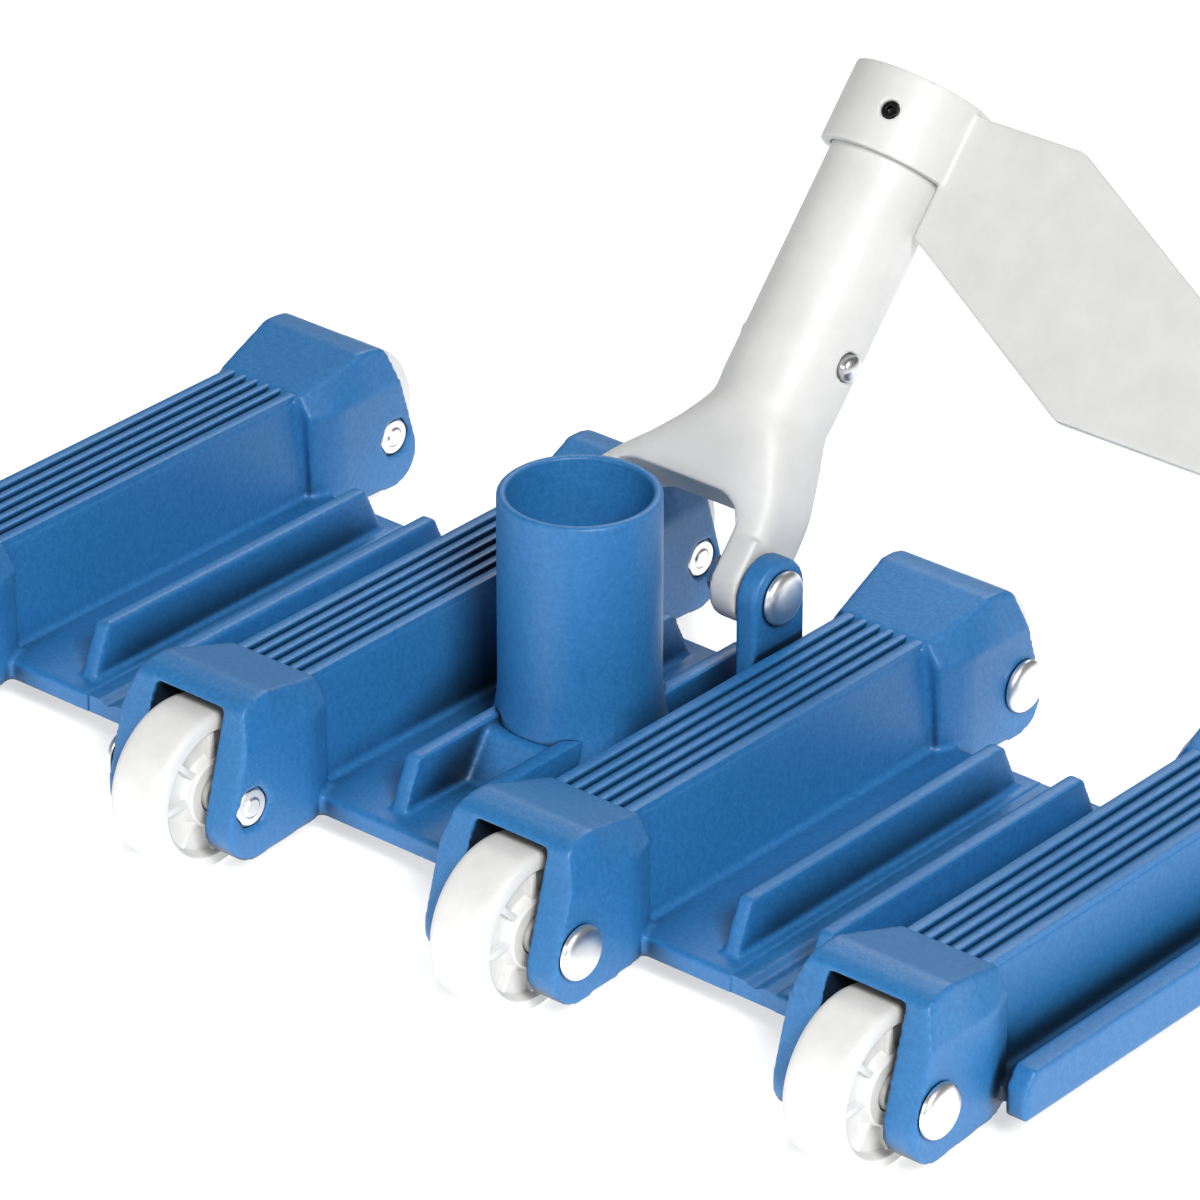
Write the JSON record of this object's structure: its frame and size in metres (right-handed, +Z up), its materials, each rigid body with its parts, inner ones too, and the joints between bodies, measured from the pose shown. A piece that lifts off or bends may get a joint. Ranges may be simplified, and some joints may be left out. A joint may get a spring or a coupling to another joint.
{
  "type": "pool wall vacuum head",
  "caption": "Flexible weighted pool vacuum head on wheels, with an upright hose port, a swinging pole handle and a side wing for holding it to the pool wall.",
  "frame": {"origin": "middle of the bounding box, on the plane the wheels stand on", "axes": "+X along the head, from its left pod to its right pod; +Y to the rear, the way the handle leans; +Z up"},
  "size_m": [0.351, 0.2224, 0.1536],
  "materials": {
    "body_blue": "moulded flexible blue plastic with a faint grain",
    "cap_blue": "darker moulded blue plastic",
    "white_plastic": "white moulded plastic, satin",
    "bush_grey": "grey bearing plastic",
    "steel": "stainless steel",
    "ballast_metal": "dull cast metal"
  },
  "bodies": {
    "section_center": {"body_center": "body_blue", "hose_port": "body_blue", "ballast_2": "ballast_metal", "ballast_cap_2": "cap_blue", "axle_bolt_front_2": "steel", "axle_nut_front_2": "steel", "axle_bolt_rear_2": "steel", "axle_nut_rear_2": "steel", "ballast_3": "ballast_metal", "ballast_cap_3": "cap_blue", "axle_bolt_front_3": "steel", "axle_nut_front_3": "steel", "axle_bolt_rear_3": "steel", "axle_nut_rear_3": "steel", "pivot_bolt_left": "steel", "pivot_bolt_right": "steel", "pivot_nut_left": "steel", "pivot_nut_right": "steel"},
    "section_left": {"body_left": "body_blue", "ballast_1": "ballast_metal", "ballast_cap_1": "cap_blue", "axle_bolt_front_1": "steel", "axle_nut_front_1": "steel", "axle_bolt_rear_1": "steel", "axle_nut_rear_1": "steel"},
    "section_right": {"body_right": "body_blue", "ballast_4": "ballast_metal", "ballast_cap_4": "cap_blue", "axle_bolt_front_4": "steel", "axle_nut_front_4": "steel", "axle_bolt_rear_4": "steel", "axle_nut_rear_4": "steel"},
    "wheel_front_1": {"wheel_front_1": "white_plastic", "bush_front_1": "bush_grey"},
    "wheel_rear_1": {"wheel_rear_1": "white_plastic", "bush_rear_1": "bush_grey"},
    "wheel_front_2": {"wheel_front_2": "white_plastic", "bush_front_2": "bush_grey"},
    "wheel_rear_2": {"wheel_rear_2": "white_plastic", "bush_rear_2": "bush_grey"},
    "wheel_front_3": {"wheel_front_3": "white_plastic", "bush_front_3": "bush_grey"},
    "wheel_rear_3": {"wheel_rear_3": "white_plastic", "bush_rear_3": "bush_grey"},
    "wheel_front_4": {"wheel_front_4": "white_plastic", "bush_front_4": "bush_grey"},
    "wheel_rear_4": {"wheel_rear_4": "white_plastic", "bush_rear_4": "bush_grey"},
    "handle": {"handle_yoke": "white_plastic", "wing": "white_plastic", "wing_screw": "steel", "clip_bend": "steel"},
    "button_left": {"snap_button_left": "steel"},
    "button_right": {"snap_button_right": "steel"}
  },
  "joints": [
    {"name": "flex_left", "type": "hinge", "parent": "section_center", "child": "section_left", "pos_m": [-0.0975, -0.01281, 0.00985], "axis": [0, 1, 0], "range_deg": [-12, 12], "stiffness_Nm_per_rad": 3},
    {"name": "flex_right", "type": "hinge", "parent": "section_center", "child": "section_right", "pos_m": [0.0975, -0.01281, 0.00985], "axis": [0, 1, 0], "range_deg": [-12, 12], "stiffness_Nm_per_rad": 3},
    {"name": "spin_front_1", "type": "hinge", "parent": "section_left", "child": "wheel_front_1", "pos_m": [-0.147, -0.09181, 0.0194], "axis": [1, 0, 0], "continuous": true},
    {"name": "spin_rear_1", "type": "hinge", "parent": "section_left", "child": "wheel_rear_1", "pos_m": [-0.147, 0.06619, 0.0194], "axis": [1, 0, 0], "continuous": true},
    {"name": "spin_front_2", "type": "hinge", "parent": "section_center", "child": "wheel_front_2", "pos_m": [-0.048, -0.09181, 0.0194], "axis": [1, 0, 0], "continuous": true},
    {"name": "spin_rear_2", "type": "hinge", "parent": "section_center", "child": "wheel_rear_2", "pos_m": [-0.048, 0.06619, 0.0194], "axis": [1, 0, 0], "continuous": true},
    {"name": "spin_front_3", "type": "hinge", "parent": "section_center", "child": "wheel_front_3", "pos_m": [0.048, -0.09181, 0.0194], "axis": [1, 0, 0], "continuous": true},
    {"name": "spin_rear_3", "type": "hinge", "parent": "section_center", "child": "wheel_rear_3", "pos_m": [0.048, 0.06619, 0.0194], "axis": [1, 0, 0], "continuous": true},
    {"name": "spin_front_4", "type": "hinge", "parent": "section_right", "child": "wheel_front_4", "pos_m": [0.147, -0.09181, 0.0194], "axis": [1, 0, 0], "continuous": true},
    {"name": "spin_rear_4", "type": "hinge", "parent": "section_right", "child": "wheel_rear_4", "pos_m": [0.147, 0.06619, 0.0194], "axis": [1, 0, 0], "continuous": true},
    {"name": "handle_swing", "type": "hinge", "parent": "section_center", "child": "handle", "pos_m": [0, 0.01749, 0.0508], "axis": [1, 0, 0], "range_deg": [-36, 36]},
    {"name": "press_left", "type": "slide", "parent": "handle", "child": "button_left", "axis": [1, 0, 0], "range_m": [0, 0.0028], "stiffness_N_per_m": 2500},
    {"name": "press_right", "type": "slide", "parent": "handle", "child": "button_right", "axis": [-1, 0, 0], "range_m": [0, 0.0028], "stiffness_N_per_m": 2500}
  ]
}
